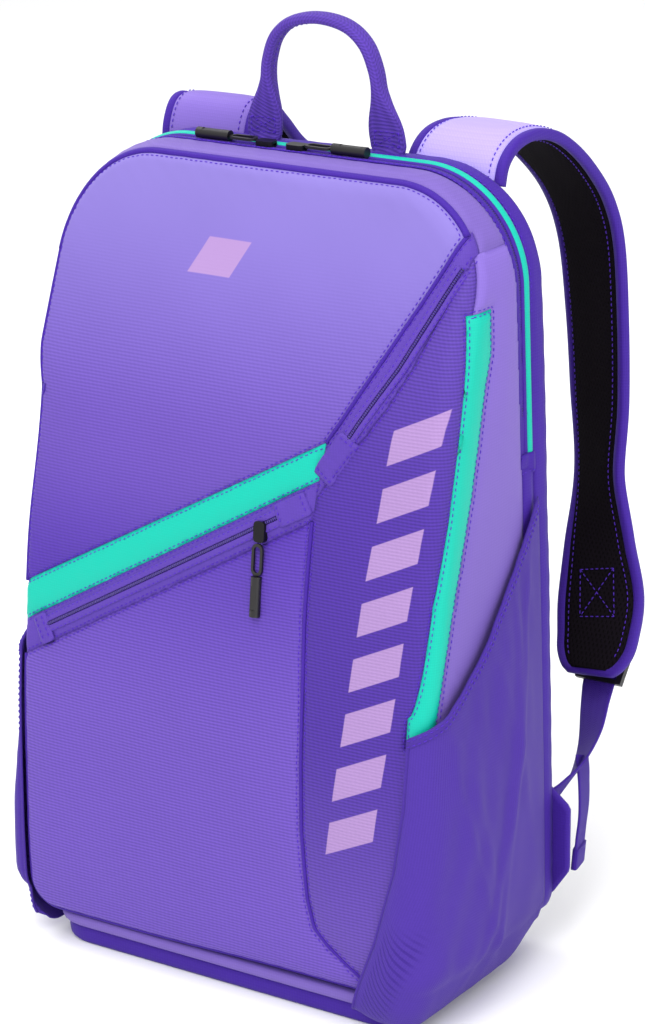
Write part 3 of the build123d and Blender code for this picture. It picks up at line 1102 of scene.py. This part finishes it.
def side_turn(z, sign):
    """At one height: the radius of the round-over, and the lengths of the flat front and the turn."""
    radius = float(edge_radius(sign * 140))
    return radius, float(half_width(max(z, LOW_Z + 12))) - radius, radius * math.pi / 2


def section_point(s, z, out, sign=1):
    """Point on the shell: s runs round from the front centre to the back, on the right or the left."""
    radius, flat, turn = side_turn(z, sign)
    y0 = float(front_y(z))
    if s <= flat:
        place, normal = (s, y0), (0, -1)
    elif s <= flat + turn:
        a = (s - flat) / radius
        place = (flat + radius * math.sin(a), y0 + radius - radius * math.cos(a))
        normal = (math.sin(a), -math.cos(a))
    else:
        place, normal = (flat + radius, y0 + radius + s - flat - turn), (1, 0)
    x = place[0] + bow(sign * place[0], place[1], z)
    return (sign * (x + normal[0] * out), place[1] + normal[1] * out, z)


# depth and height along a pocket's mouth
MOUTH = ([-62, -45, -30, -12, 5, 22, 39, 50, 64], [193, 203, 214, 230, 249, 268, 285, 296, 309])
# height and place round the shell of a pocket's front edge, for each hand
POCKET_FRONT = {1: ([6, 33, 62, 110, 150, 200], [104, 113, 124, 136, 140, 141]),
                -1: ([6, 60, 120, 200], [150, 150, 151, 154])}
POCKET_LOW, POCKET_BACK_Y = 6.0, 64.0
# how much of the swell a pocket has, where it falls in, over what share, and by how much
POCKET_FALL = {1: (1.0, 0.55, 0.45, 0.52), -1: (1.35, 0.40, 0.35, 0.85)}


def pocket_s(u, z, sign):
    """Position round the shell of a point a share u across the pocket."""
    radius, flat, turn = side_turn(z, sign)
    back = flat + turn + POCKET_BACK_Y - float(front_y(z)) - radius
    front = float(np.interp(z, *POCKET_FRONT[sign]))
    return front + (back - front) * u


POCKET_U, POCKET_V = 60, 72


def pocket_out(u, v, sign):
    """How far the stretch fabric stands off the shell."""
    share, start, run, drop = POCKET_FALL[sign]
    edge = math.sin(math.pi * clamp(u)) ** 0.75 if sign > 0 else 1 - abs(1 - 2 * u) ** 13
    swell = sizes().pocket_swell / MM * share * edge * ease(v / 0.20)
    tuck = 1 - math.sqrt(1 - (1 - min(v / 0.09, 1)) ** 2)
    out = 2.8 + swell * (1 - drop * ease((v - start) / run)) - 9.0 * tuck * min(edge * 2 + 0.3, 1)
    free = edge * min(v / 0.15, 1) * (1 - 0.8 * max(0.0, (v - 0.84) / 0.16))
    ridges = (2.3 * math.exp(-((u - 0.42 - 0.30 * math.sin(1.8 * v)) / 0.035) ** 2)
              + 1.8 * math.exp(-((u - 0.60 - 0.30 * v * v) / 0.030) ** 2)
              + 1.7 * math.exp(-((u - 0.16 - 0.55 * (1 - v) ** 1.6) / 0.028) ** 2))
    folds = (1.5 * math.sin(2 * math.pi * (2.1 * u + 1.15 * v + 0.12 * math.sin(7 * v)))
             + 0.9 * math.sin(2 * math.pi * (5.2 * u - 1.3 * v + 0.3 * math.sin(4 * u)))
             + 0.5 * math.sin(2 * math.pi * (9.0 * u + 3.0 * v)) * v)
    sharp = 1.6 * max(0.0, math.sin(2 * math.pi * (3.1 * u + 1.7 * v + 0.1))) ** 5
    return out + free * (folds * 0.7 + sharp * 0.8 + ridges)


def pocket_grid(sign):
    verts, uvs = [], []
    for j in range(POCKET_V + 1):
        v = j / POCKET_V
        for i in range(POCKET_U + 1):
            u = i / POCKET_U
            top = float(np.interp(-62 + 126 * u, *MOUTH))
            low = POCKET_LOW + 20 * max(0.0, (u - 0.78) / 0.22) ** 2 + 8 * max(0.0, 1 - u / 0.12) ** 2
            z = low + (top - low) * v
            s = pocket_s(u, z, sign)
            verts.append(section_point(s, z, pocket_out(u, v, sign), sign))
            uvs.append(((s - pocket_s(0, z, sign)) * MM, (z - low) * MM))
    return verts, uvs, grid_faces(POCKET_U, POCKET_V, flip=sign < 0)


class BACKPACK_OT_side_pockets(bpy.types.Operator):
    """Stretch the two side pockets over the shell with their elastic mouths"""
    bl_idname = "backpack.side_pockets"
    bl_label = "Side pockets"

    def execute(self, context):
        for sign, hand in ((1, "right"), (-1, "left")):
            verts, uvs, faces = pocket_grid(sign)
            obj = new_piece(f"stretch_pocket_{hand}", verts, faces, "stretch", uvs=uvs)
            thicken(obj, 0.9 * MM, 0.0)
            settle(obj, "bag", (f"side_pocket_{hand}",))
            width = POCKET_U + 1
            top = resample(verts[POCKET_V * width:], 2.5)
            under = resample(verts[(POCKET_V - 3) * width:(POCKET_V - 2) * width], 2.5)
            count = min(len(top), len(under))
            top, under = top[:count], under[:count]
            flow = unit(top - under)
            out = unit(np.cross(np.gradient(top, axis=0), flow))
            if (out[:, 0] * sign).sum() < 0:
                out = -out
            binding = sweep(f"pocket_binding_{hand}", top - flow * 2.6, flow, out,
                            [ellipse(3.6, 1.3, 14, power=0.6)] * count, "elastic")
            settle(binding, "bag", (f"side_pocket_binding_{hand}",))
            rows = [(top - flow * d + out * 1.35, out) for d in (0.9, 4.6)]
            edge, normal = facing(resample(verts[0::width], 3.0), unit(np.array((sign, -1.0, 0.0))))
            side, up = path_frames(edge, normal)
            welt = cord("welt", edge, normal, ellipse(1.3, 0.9, 10), "elastic")
            rows.append((edge + side * 3.2 * sign + up * 0.8, up))
            settle(join(f"pocket_welt_{hand}", [welt, stitches("pocket_stitches", rows)]), "bag")
        return {"FINISHED"}


# how far out each ring of a puffed pad lies and its height, from its faces to its middle
PAD_LEVELS = ((0.92, 1.0), (0.97, 1.0), (0.99, 0.96), (1.0, 0.7), (1.0, 0.3))


def rounded_plate(name, half_x, y0, y1, radius, z0, z1, bulge, finish):
    """A puffed pad with a rounded outline and soft edges, built up in rings."""
    ring = []
    for x, y, start in ((half_x - radius, y1 - radius, 0), (-half_x + radius, y1 - radius, 90),
                        (-half_x + radius, y0 + radius, 180), (half_x - radius, y0 + radius, 270)):
        ring += arc(x, y, radius, start, start + 90, 9)
    ring = resample(ring + [ring[0]], 6.0)[:-1]
    centre = ring.mean(0)
    mid, half = (z0 + z1) / 2, (z1 - z0) / 2
    levels = [(share, -height) for share, height in PAD_LEVELS] + list(PAD_LEVELS[::-1])
    verts = []
    for share, height in levels:
        flat = centre + (ring - centre) * share + unit(ring - centre) * bulge * (1 - height ** 2)
        verts += [(x, y, mid + half * height) for x, y in flat]
    return outward(new_piece(name, verts, ring_faces(len(levels), len(ring)), finish)), ring


class BACKPACK_OT_base(bpy.types.Operator):
    """Make the base pad and the strip that binds it"""
    bl_idname = "backpack.base"
    bl_label = "Base"

    def execute(self, context):
        pad, ring = rounded_plate("quilted_base_pad", 136, -70, 72, 24, 0.0, 13.2, 1.2, "indigo")
        settle(pad, "bag", ("base_pad",))
        strip, _ = rounded_plate("base_binding_strip", 139, -73.5, 74.5, 26, 13.0, 20.6, 1.6, "gusset")
        settle(strip, "bag", ("base_binding",))
        line = np.array([(x, y, 15.2) for x, y in ring * 1.022])
        out = unit(line - (0, 0.5, 15.2))
        settle(stitches("base_stitches", [(line + out * 1.4, out)]), "bag")
        return {"FINISHED"}


def back_panel():
    """Pads under mesh, with air channels between them."""
    cols, rows = 90, 140
    low, high = LOW_Z + 3, TOP_Z - 3
    verts = []
    for j in range(rows + 1):
        z = low + (high - low) * j / rows
        top = max(0.0, z - (TOP_Z - CORNER_R))
        half = float(half_width(z)) - (CORNER_R - math.sqrt(max(CORNER_R ** 2 - top ** 2, 0.0))) - 2.0
        for i in range(cols + 1):
            x = (2 * i / cols - 1) * half
            pad = clamp(min(half - abs(x), z - low, high - z) / 14)
            channels = math.exp(-(x / 12) ** 2) + math.exp(-((abs(x) - 92) / 5.0) ** 2)
            channels += sum(math.exp(-((z - q) / 5.0) ** 2) for q in (140, 250, 360))
            lift = 4.4 * math.sin(pad * math.pi / 2) - 3.4 * pad * min(1.0, channels)
            verts.append((x, BACK_Y - 2.2 + lift, z))
    back = new_piece("padded_back_panel", verts, grid_faces(cols, rows, flip=True), "mesh")
    thicken(back, 2.0 * MM)
    settle(back, "bag", ("back_panel",))


def shoulder_yoke():
    """Band that holds both straps, with two rows of stitches."""
    cols, rows, low, high = 60, 8, 452, 489
    verts = []
    for j in range(rows + 1):
        z = low + (high - low) * j / rows
        half = 136 - 8 * j / rows
        edge = min(z - low, high - z)
        for i in range(cols + 1):
            x = (2 * i / cols - 1) * half
            rim = min(half - abs(x), edge)
            round_in = 7.0 * max(0.0, 1 - edge / 9) ** 2 * abs(x) / half
            verts.append((x - math.copysign(round_in, x), 81.4 + 1.6 * math.sqrt(clamp(rim / 5)), z))
    yoke = new_piece("shoulder_yoke", verts, grid_faces(cols, rows, flip=True), "indigo")
    thicken(yoke, 2.2 * MM)
    runs = [facing(resample([(-128, 83.1, z), (128, 83.1, z)], 3.0), (0, 1, 0)) for z in (456.0, 485.0)]
    settle(join("shoulder_yoke", [yoke, stitches("yoke_stitches", runs)]), "bag",
           ("yoke",))


WING = [(108, 46), (150, 36), (163, 54), (165, 98), (148, 112), (120, 102), (108, 72)]
WING_LEVELS = ((0.9, 79.0), (1.0, 79.6), (1.0, 82.0), (0.93, 83.2), (0.5, 83.6))


def wing(sign, hand):
    """Tab that holds the end of the lower webbing."""
    ring = resample(WING + WING[:1], 4.0)[:-1]
    centre = ring.mean(0)

    def level(share, y):
        return [(sign * x, y, z) for x, z in centre + (ring - centre) * share]

    verts = sum((level(*at) for at in WING_LEVELS), [])
    name = f"webbing_wing_{hand}"
    tab = outward(new_piece(name, verts, ring_faces(len(WING_LEVELS), len(ring)), "indigo"))
    sewn = stitches("wing_stitches", [facing(np.array(level(0.84, 83.5)), (0, 1, 0))])
    settle(join(name, [tab, sewn]), "bag", (f"wing_tab_{hand}",))


class BACKPACK_OT_back(bpy.types.Operator):
    """Pad the back panel with air channels and sew on the yoke and wings"""
    bl_idname = "backpack.back"
    bl_label = "Back panel"

    def execute(self, context):
        back_panel()
        shoulder_yoke()
        wing(1, "right")
        wing(-1, "left")
        return {"FINISHED"}


# left half of the handle's centreline in x and z, from its foot to its top
HANDLE = [(-46.5, 506.5), (-46, 516), (-43.5, 530), (-41.5, 545), (-39.5, 559), (-33, 574), (-20, 584),
          (0, 587.5)]
HANDLE_X, HANDLE_Y = 7.0, 73.0


class BACKPACK_OT_handle(bpy.types.Operator):
    """Fold the haul handle from one strip of webbing"""
    bl_idname = "backpack.handle"
    bl_label = "Haul handle"

    def execute(self, context):
        line = HANDLE + [(-x, z) for x, z in HANDLE[-2::-1]]
        path = smooth_path([(x, HANDLE_Y, z) for x, z in line], 120) + (HANDLE_X, 0, 0)
        along = unit(np.gradient(path, axis=0))
        path, up = facing(path, (0.0, 1.0, 0.0))
        side = unit(np.cross(up, along))
        run = np.abs(np.linspace(-1, 1, len(path)))
        sections = []
        for r in run:
            foot = ease((r - 0.50) / 0.32) * (1 - 0.28 * max(0.0, (r - 0.90) / 0.10))
            sections.append(ellipse(3.6 + 9.4 * foot, 6.4 - 5.0 * foot, 20, power=0.8 - 0.3 * foot))
        grip = sweep("webbing_handle", path, side, up, sections, "handle")
        folded = run < 0.48
        runs = [((path + side * 3.5)[folded], side[folded])]
        for sign in (-1, 1):
            base = np.array([sign * 46.3 + HANDLE_X, HANDLE_Y - 1.6, 513.0])
            corners = [base + (x, 0, z) for x, z in ((-9, 0), (9, 0), (9, 9), (-9, 9))]
            runs += crossed_box(*corners, (0, -1, 0))
        handle = join("webbing_handle", [grip, stitches("handle_stitches", runs)])
        settle(handle, "handle", ("handle_grip", "handle_feet"))
        return {"FINISHED"}


# right strap: centre x, y, z, then the half-width vector towards the outer edge
STRAP = [
    (93, 83, 490, 32, 0, 0), (93, 90, 506, 32, 0, 0), (93, 106, 515, 32, 0, 0), (93, 130, 515, 32, -1, 0),
    (94, 157, 506, 32, -4, 0), (96, 187, 485, 31, -8, 0), (98, 213, 455, 29, -11, 2),
    (99, 227, 420, 28, -12, 3),
    (101, 229, 370, 26, -11, 4), (104, 225, 320, 24, -10, 5), (105, 221, 268, 21, -10, 5),
    (112, 208, 225, 23, -1, 2), (119, 197, 192, 26, 4, 2), (124, 184, 169, 25, 3, 3),
    (126, 171, 151, 22, 3, 3)]

# left strap, on the right's side: it stands up at the yoke and drops sooner
STRAP_LEFT = [
    (93, 83, 490, 32, 0, 0), (93, 86, 507, 32, 0, 0), (93, 94, 519, 32, 0, 0), (93, 107, 519, 32, -1, 0),
    (94, 121, 506, 32, -2, 0), (95, 139, 487, 32, -3, 0), (96, 166, 468, 31, -6, 0),
    (98, 193, 447, 29, -9, 2),
    (99, 212, 416, 28, -11, 3), (101, 223, 372, 26, -11, 4)] + STRAP[9:]


def strap_frames(sign):
    data = smooth_path(STRAP if sign > 0 else STRAP_LEFT, 150)
    path, wide = data[:, :3].copy(), data[:, 3:].copy()
    path[:, 0] *= sign
    wide[:, 0] *= sign
    half = np.linalg.norm(wide, axis=1)
    along = unit(np.gradient(path, axis=0))
    side = unit(wide - (wide * along).sum(1, keepdims=True) * along)
    up = unit(np.cross(side, along)) * sign
    if up[60][1] < 0:
        up = -up
    return path, side, up, half


def half_section(half, thick, sign):
    """One face of the pad: flat at the middle plane, crowned outside, thin at the bound edges."""
    share = np.linspace(-1, 1, 17)
    crown = thick * (1 - share ** 4) ** 0.5 + 0.4
    return np.array([*zip(half * share, sign * crown), *((half * a, 0.0) for a in share[::-1])])


WEB_ROUTE = [(127, 185, 151), (128, 178, 141), (132, 166, 130), (140, 146, 116), (146, 122, 106),
             (146, 100, 99), (142, 88, 94)]
TAIL_ROUTE = [(145, 128, 112), (149, 123, 98), (151, 119, 80), (150, 116, 62), (149, 113, 42)]
BIND_INSET = 6.0


def strap_binding(path, side, up, width):
    """Bound edge of a pad, down one side, round its end and back up the other."""
    left, right = path + side * width[:, None], path - side * width[:, None]
    turn = left[-1:] + (right[-1:] - left[-1:]) * np.linspace(0.1, 0.9, 9)[:, None]
    loop = np.vstack([left[2:], turn, right[:1:-1]])
    return cord("binding", loop, np.vstack([up[2:], np.repeat(up[-1:], 9, 0), up[:1:-1]]),
                ellipse(3.4, 3.6, 14, power=0.7), "indigo")


def lower_webbing(sign, hand):
    """Lower webbing with a half twist, and the free tail with its folded hem."""
    route = smooth_path(WEB_ROUTE, 60) * (sign, 1, 1)
    along = unit(np.gradient(route, axis=0))
    turn = np.interp(np.linspace(0, 1, 60), (0, 0.2, 0.7, 1), (0, -8, -50, -75)) * sign
    flat = unit(np.cross(along, (0.0, -0.6, 0.8)))
    lift = unit(np.cross(flat, along))
    c, s = np.cos(np.radians(turn))[:, None], np.sin(np.radians(turn))[:, None]
    band = sweep("webbing_band", route, flat * c + lift * s, lift * c - flat * s,
                 [ellipse(12.2, 1.0, 16, power=0.4)] * 60, "webbing")
    route = smooth_path(TAIL_ROUTE, 50) * (sign, 1, 1)
    along = unit(np.gradient(route, axis=0))
    up = unit(np.cross(along, (-0.3 * sign, 0.95, 0.0)))
    side = unit(np.cross(up, along))
    tail = sweep("webbing_tail", route, side, up, [ellipse(12.0, 1.0, 16, power=0.4)] * 50, "webbing")
    hem = sweep("webbing_hem", route[-9:], side[-9:], up[-9:], [ellipse(12.2, 2.2, 16, power=0.4)] * 9,
                "webbing")
    obj = join(f"lower_strap_webbing_{hand}", [band, tail, hem])
    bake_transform(obj)
    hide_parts(f"lower_webbing_{hand}", f"webbing_tail_{hand}")


class BACKPACK_OT_straps(bpy.types.Operator):
    """Pad, line and bind both shoulder straps, with their lower webbing"""
    bl_idname = "backpack.straps"
    bl_label = "Shoulder straps"

    def execute(self, context):
        for sign, hand in ((1, "right"), (-1, "left")):
            path, side, up, half = strap_frames(sign)
            ends = np.minimum(1, (np.arange(len(path))[::-1] + 0.5) / 9)
            width = half * (0.50 + 0.50 * np.sqrt(1 - (1 - ends) ** 2))
            outer = sweep(f"strap_outer_fabric_{hand}", path, side, up,
                          [half_section(w, 4.8, 1) for w in width], "strap" if sign > 0 else "smooth")
            inner = sweep(f"strap_mesh_lining_{hand}", path, side, up,
                          [half_section(w, 4.4, -1) for w in width], "mesh")
            edge = strap_binding(path, side, up, width)
            runs = []
            for face in (-1, 1):
                for hem in (-1, 1):
                    line = path + side * (hem * (width - BIND_INSET))[:, None] + up * face * 4.3
                    runs.append((line[4:-4], up[4:-4] * face))
            runs += stitches_box(path, side, up)
            sewn = stitches(f"strap_stitches_{hand}", runs, lift=0.2)
            binding = join(f"strap_binding_{hand}", [edge, sewn])
            for obj, nodes, slot in (
                    (outer, (f"strap_outer_{hand}", f"strap_foam_{hand}"), "smooth_fabric"),
                    (inner, (f"strap_mesh_{hand}",), "black_mesh"), (binding, (), "indigo_fabric")):
                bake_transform(obj)
                if nodes:
                    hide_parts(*nodes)
            lower_webbing(sign, hand)
        return {"FINISHED"}


def stitches_box(path, side, up):
    """Square with a cross, sewn near the lower end of a pad on its inner face."""
    first, last = len(path) - 28, len(path) - 17
    a, b, d, c = (path[i] + side[i] * s * 12 - up[i] * 4.9 for i in (first, last) for s in (-1, 1))
    return crossed_box(a, b, c, d, -up[(first + last) // 2])


class BACKPACK_OT_hardware(bpy.types.Operator):
    """Finish the sliders, pulls, ladder locks and inner layers"""
    bl_idname = "backpack.hardware"
    bl_label = "Hardware"

    def execute(self, context):
        for name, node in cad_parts.items():
            if node.hide_render:
                continue
            plastic = name.endswith(("_grip", "_loop")) or name.startswith("ladder")
            finish = "metal" if name.endswith("_slider") else "plastic" if plastic else "foam"
            node.data.materials.clear()
            node.data.materials.append(FINISHES[finish])
        points = [(-(half_width(z) + 0.9), -25, z) for z in np.linspace(238, 362, 40)]
        points, normals = on_shell(points, 0.3)
        side, _ = path_frames(points, normals)
        pieces = [cord("coil", points, normals, ellipse(1.8, 0.9, 10), "coil")]
        for shift in (-4.2, 4.2):
            pieces.append(surface_strip("lip", *on_shell(points + side * shift, 0.1), 2.2, 0.9, "indigo"))
        settle(join("left_side_zip", pieces), "bag")
        return {"FINISHED"}


LIGHTS = (  # name, place, what it points at, watts, width
    ("key", (0.6, -2.2, 2.6), (0, 0, 0.25), 62, 2.2), ("fill", (2.6, -0.6, 1.1), (0, 0, 0.25), 22, 2.0),
    ("rim", (-2.0, 0.6, 1.9), (0, 0, 0.3), 22, 1.6), ("top", (0.1, -0.2, 3.0), (0, 0, 0.4), 34, 2.0))
CAMERA_AT, CAMERA_AIM, CAMERA_ROLL = (1.2866, -1.6808, 1.0433), (0, 0.021, 0.270), -3.1
LENS, SENSOR, LENS_SHIFT = 128.0, 36.0, (0.0346, 0.0236)


def towards(place, target):
    """The turn that makes a lamp or camera at a place look at a target."""
    return (Vector(target) - Vector(place)).to_track_quat("-Z", "Y")


class BACKPACK_OT_stage(bpy.types.Operator):
    """Set the floor, the lights and the camera"""
    bl_idname = "backpack.stage"
    bl_label = "Stage"

    def execute(self, context):
        scene = context.scene
        bpy.ops.mesh.primitive_plane_add(size=60.0, location=(0, 0, -0.0005))
        floor = context.object
        floor.name = "floor"
        f = Finish("pale_floor")
        floor.data.materials.append(f.finish((0.90, 0.90, 0.905), f.noise(3, 2) * 0.05 + 0.85))
        for name, place, target, power, width in LIGHTS:
            data = bpy.data.lights.new(name, "AREA")
            data.energy, data.size = power, width
            lamp = bpy.data.objects.new(name, data)
            lamp.location = place
            lamp.rotation_euler = towards(place, target).to_euler()
            scene.collection.objects.link(lamp)
        world = bpy.data.worlds.new("studio")
        world.use_nodes = True
        sky = world.node_tree.nodes["Background"]
        sky.inputs[0].default_value, sky.inputs[1].default_value = (1.0, 1.0, 1.0, 1.0), 0.85
        scene.world = world
        scene.view_settings.view_transform = "Standard"
        lens = bpy.data.cameras.new("camera")
        lens.lens, lens.sensor_width, lens.clip_end = LENS, SENSOR, 50
        lens.shift_x, lens.shift_y = LENS_SHIFT
        camera = bpy.data.objects.new("camera", lens)
        camera.location = CAMERA_AT
        camera.rotation_mode = "QUATERNION"
        roll = Quaternion((0, 0, 1), math.radians(CAMERA_ROLL))
        camera.rotation_quaternion = towards(CAMERA_AT, CAMERA_AIM) @ roll
        scene.collection.objects.link(camera)
        scene.camera = camera
        return {"FINISHED"}


OPERATORS = (
    BACKPACK_OT_shell, BACKPACK_OT_gusset_trim, BACKPACK_OT_seams, BACKPACK_OT_front_zips,
    BACKPACK_OT_side_pockets, BACKPACK_OT_base, BACKPACK_OT_back, BACKPACK_OT_handle,
    BACKPACK_OT_straps, BACKPACK_OT_hardware, BACKPACK_OT_stage)


class BACKPACK_PT_panel(bpy.types.Panel):
    bl_idname = "BACKPACK_PT_panel"
    bl_label = "Racket backpack"
    bl_space_type = "VIEW_3D"
    bl_region_type = "UI"
    bl_category = "Backpack"

    def draw(self, context):
        for group in (context.scene.backpack_sizes, context.scene.backpack_colours):
            for key in group.__annotations__:
                self.layout.prop(group, key)
        for operator in OPERATORS:
            self.layout.operator(operator.bl_idname)


CLASSES = (BackpackColours, BackpackSizes, *OPERATORS, BACKPACK_PT_panel)


def register():
    for cls in CLASSES:
        bpy.utils.register_class(cls)
    bpy.types.Scene.backpack_colours = PointerProperty(type=BackpackColours)
    bpy.types.Scene.backpack_sizes = PointerProperty(type=BackpackSizes)


def unregister():
    del bpy.types.Scene.backpack_colours
    del bpy.types.Scene.backpack_sizes
    for cls in reversed(CLASSES):
        bpy.utils.unregister_class(cls)


def main():
    register()
    make_finishes()
    for operator in OPERATORS:
        group, name = operator.bl_idname.split(".")
        getattr(getattr(bpy.ops, group), name)()


if __name__ == "__main__":
    main()
